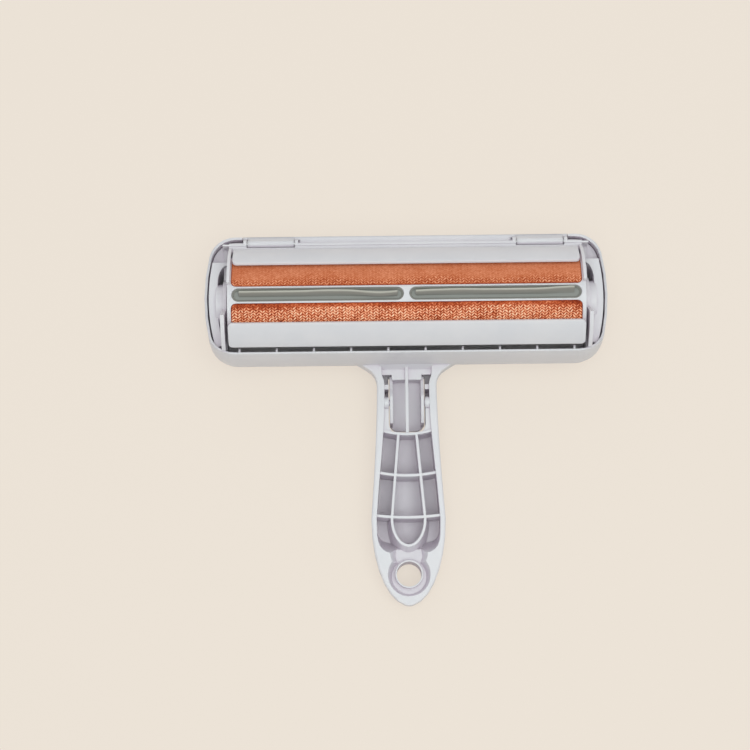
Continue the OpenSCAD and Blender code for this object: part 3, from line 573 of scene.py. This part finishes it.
plasticFinish = {
    "grain": 0.35,           # mm, coarser than the real grain, which the picture couldn't show
    "clouds": 0.055,         # to the mm, where tint and gloss drift a little
    "paintedShadeTint": "#d8d0d9",   # painted shade: a pink-grey tint down in the cells and slots
    "paintedShadeReach": 14.0,       # mm within which walls make a place count as deep, for the painted shade
    "edgeRound": 0.4,        # mm, of every moulded edge
    "curveRound": 2.2,       # mm, over the big curves of the outside, which read as one smooth surface
    "translucency": 2.5,     # mm that light travels in the wall
}


def mouldedPlastic(name, colour, shade, roughness, curvesFrom):
    # Injection-moulded polypropylene: an even, slightly soft sheen over a very fine spark-eroded grain, with
    # painted shade in its hollows
    look = plasticFinish
    material, tree = newMaterial(name)
    coords = addNode(tree, "ShaderNodeTexCoord")
    cloud = addNode(tree, "ShaderNodeTexNoise",
                    {"Scale": look["clouds"] * perMm, "Detail": 3.0, "Roughness": 0.5},
                    {"Vector": coords.outputs["Object"]})
    tint = addNode(tree, "ShaderNodeValToRGB", {}, {"Fac": cloud.outputs["Fac"]})
    setRamp(tint, [(0.35, shade), (0.65, colour)])
    # Painted shade: where walls stand close, at the bottoms of the cells and slots, the colour is mixed
    # towards a faint pink tint
    shadeOcclusion = addNode(tree, "ShaderNodeAmbientOcclusion",
                     {"samples": 8, "Distance": look["paintedShadeReach"] * mm})
    depth = addNode(tree, "ShaderNodeMapRange", {"From Min": 0.8, "From Max": 0.3, "To Max": 1.0},
                    {"Value": shadeOcclusion.outputs["AO"]})
    paintedShadeMix = addNode(tree, "ShaderNodeMix", {"data_type": "RGBA", 7: toLinear(look["paintedShadeTint"])},
                   {0: depth.outputs["Result"], 6: tint.outputs["Color"]})   # its colours are 6 and 7
    rough = addNode(tree, "ShaderNodeMapRange",
                    {"To Min": roughness - 0.05, "To Max": roughness + 0.07},
                    {"Value": cloud.outputs["Fac"]})
    fine = addNode(tree, "ShaderNodeTexNoise",
                   {"Scale": perMm / look["grain"], "Detail": 2.0, "Roughness": 0.6},
                   {"Vector": coords.outputs["Object"]})
    place = addNode(tree, "ShaderNodeSeparateXYZ", {}, {0: coords.outputs["Object"]})
    side = addNode(tree, "ShaderNodeMath", {"operation": "ABSOLUTE"}, {0: place.outputs["X"]})
    bend = addNode(tree, "ShaderNodeMapRange",
                   {"From Min": curvesFrom * mm, "From Max": (curvesFrom + 3) * mm,
                    "To Min": look["edgeRound"] * mm, "To Max": look["curveRound"] * mm},
                   {"Value": side.outputs[0]})
    edge = addNode(tree, "ShaderNodeBevel", {"samples": 8}, {"Radius": bend.outputs["Result"]})
    bump = addNode(tree, "ShaderNodeBump", {"Strength": 0.12, "Distance": 0.1 * mm},
                   {"Height": fine.outputs["Fac"], "Normal": edge.outputs["Normal"]})
    shader = addNode(tree, "ShaderNodeBsdfPrincipled",
                     {"IOR": 1.49, "Subsurface Weight": 0.3, "Subsurface Radius": (1.0, 1.0, 1.0),
                      "Subsurface Scale": look["translucency"] * mm},
                     {"Base Color": paintedShadeMix.outputs[2], "Roughness": rough.outputs["Result"],
                      "Normal": bump.outputs["Normal"]})
    finishMaterial(tree, shader)
    return material


rubberFinish = {
    "bloom": 0.18,                    # to the mm, blotches of dust and wear
    "bloomShare": 0.16,               # of the way from floor to lip
    "bottom": 54.1, "top": 57.4,      # mm above the ground, from the slot's floor to the lip's edge, over which painted shade turns to a painted highlight
    # From the painted shade on the slot's floor to the painted highlight at the lip's edge
    "stops": [(0.0, "#8c8e8a"), (0.12, "#8a8a84"), (0.8, "#95928a"), (0.97, "#b0afa4")],
}


def siliconeRubber(name):
    # Moulded silicone rubber: matt, with painted shade down in the slot and a painted highlight at the lip's
    # edge, and blotches of dust and wear
    look = rubberFinish
    material, tree = newMaterial(name)
    coords = addNode(tree, "ShaderNodeTexCoord")
    bloom = addNode(tree, "ShaderNodeTexNoise", {"Scale": look["bloom"] * perMm, "Detail": 4.0},
                    {"Vector": coords.outputs["Object"]})
    place = addNode(tree, "ShaderNodeSeparateXYZ", {}, {0: coords.outputs["Object"]})
    # The height above the ground paints shade low in the slot and a highlight at the lip's edge
    height = addNode(tree, "ShaderNodeMapRange",
                     {"From Min": look["bottom"] * mm, "From Max": look["top"] * mm},
                     {"Value": place.outputs["Z"]})
    dust = addNode(tree, "ShaderNodeMath",
                   {"operation": "MULTIPLY_ADD", 1: look["bloomShare"], 2: -look["bloomShare"] / 2},
                   {0: bloom.outputs["Fac"]})
    paintedLightAndDust = addNode(tree, "ShaderNodeMath", {"operation": "ADD", "use_clamp": True},
                   {0: height.outputs["Result"], 1: dust.outputs[0]})
    tint = addNode(tree, "ShaderNodeValToRGB", {}, {"Fac": paintedLightAndDust.outputs[0]})
    setRamp(tint, look["stops"])
    bump = addNode(tree, "ShaderNodeBump", {"Strength": 0.2, "Distance": 0.1 * mm},
                   {"Height": bloom.outputs["Fac"]})
    shader = addNode(tree, "ShaderNodeBsdfPrincipled", {"Roughness": 0.62, "IOR": 1.43},
                     {"Base Color": tint.outputs["Color"], "Normal": bump.outputs["Normal"]})
    finishMaterial(tree, shader)
    return material


wireFinish = {
    "colour": "#b9bbbd",
    "lines": 0.9,                     # to the mm
    "smoothest": 0.22, "roughest": 0.38,
}


def drawnSteel(name):
    # Drawn steel wire: bright, with fine lines left by the die
    look = wireFinish
    material, tree = newMaterial(name)
    coords = addNode(tree, "ShaderNodeTexCoord")
    lines = addNode(tree, "ShaderNodeTexNoise", {"Scale": look["lines"] * perMm, "Detail": 2.0},
                    {"Vector": coords.outputs["Object"]})
    rough = addNode(tree, "ShaderNodeMapRange",
                    {"To Min": look["smoothest"], "To Max": look["roughest"]},
                    {"Value": lines.outputs["Fac"]})
    shader = addNode(tree, "ShaderNodeBsdfPrincipled",
                     {"Base Color": toLinear(look["colour"]), "Metallic": 1.0},
                     {"Roughness": rough.outputs["Result"]})
    finishMaterial(tree, shader)
    return material


# The last value is where the outside's big curves start, in mm from the middle: at the head's end walls,
# all over the lid, and nowhere on the inner mouldings
shellPlastic = mouldedPlastic("polypropyleneShell", "#d9d8db", "#d4d4d8", 0.42, 89)
lidPlastic = mouldedPlastic("polypropyleneLid", "#d9d8db", "#d4d4d8", 0.42, -3)
framePlastic = mouldedPlastic("polypropyleneFrame", "#dad9dc", "#d6d5d9", 0.45, 200)
greyRubber = siliconeRubber("siliconeRubber")
wireSteel = drawnSteel("drawnSteel")

for nodeName in ("housing", "front_cover", "rear_cover", "drum"):
    paint(nodeName, shellPlastic)
paint("lid", lidPlastic)
for nodeName in ("roller_frame", "left_end_cap", "right_end_cap", "button"):
    paint(nodeName, framePlastic)
for nodeName in ("left_axle", "right_axle", "left_hinge_pin", "right_hinge_pin"):
    paint(nodeName, wireSteel)
print("plastic and steel parts finished")

for side, nodeName in ((-1, "left_blade"), (1, "right_blade")):
    insert = addInsert(nodeName.replace("_blade", "RubberInsert"), side)
    insert.data.materials.append(greyRubber)
    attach(insert, "drum_body")
    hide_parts(nodeName)
print("rubber inserts made")

coil, foot = addCoil()
coil.data.materials.append(wireSteel)
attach(coil, "body")
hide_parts("button_spring")
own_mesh(coil)
print("return coil wound")
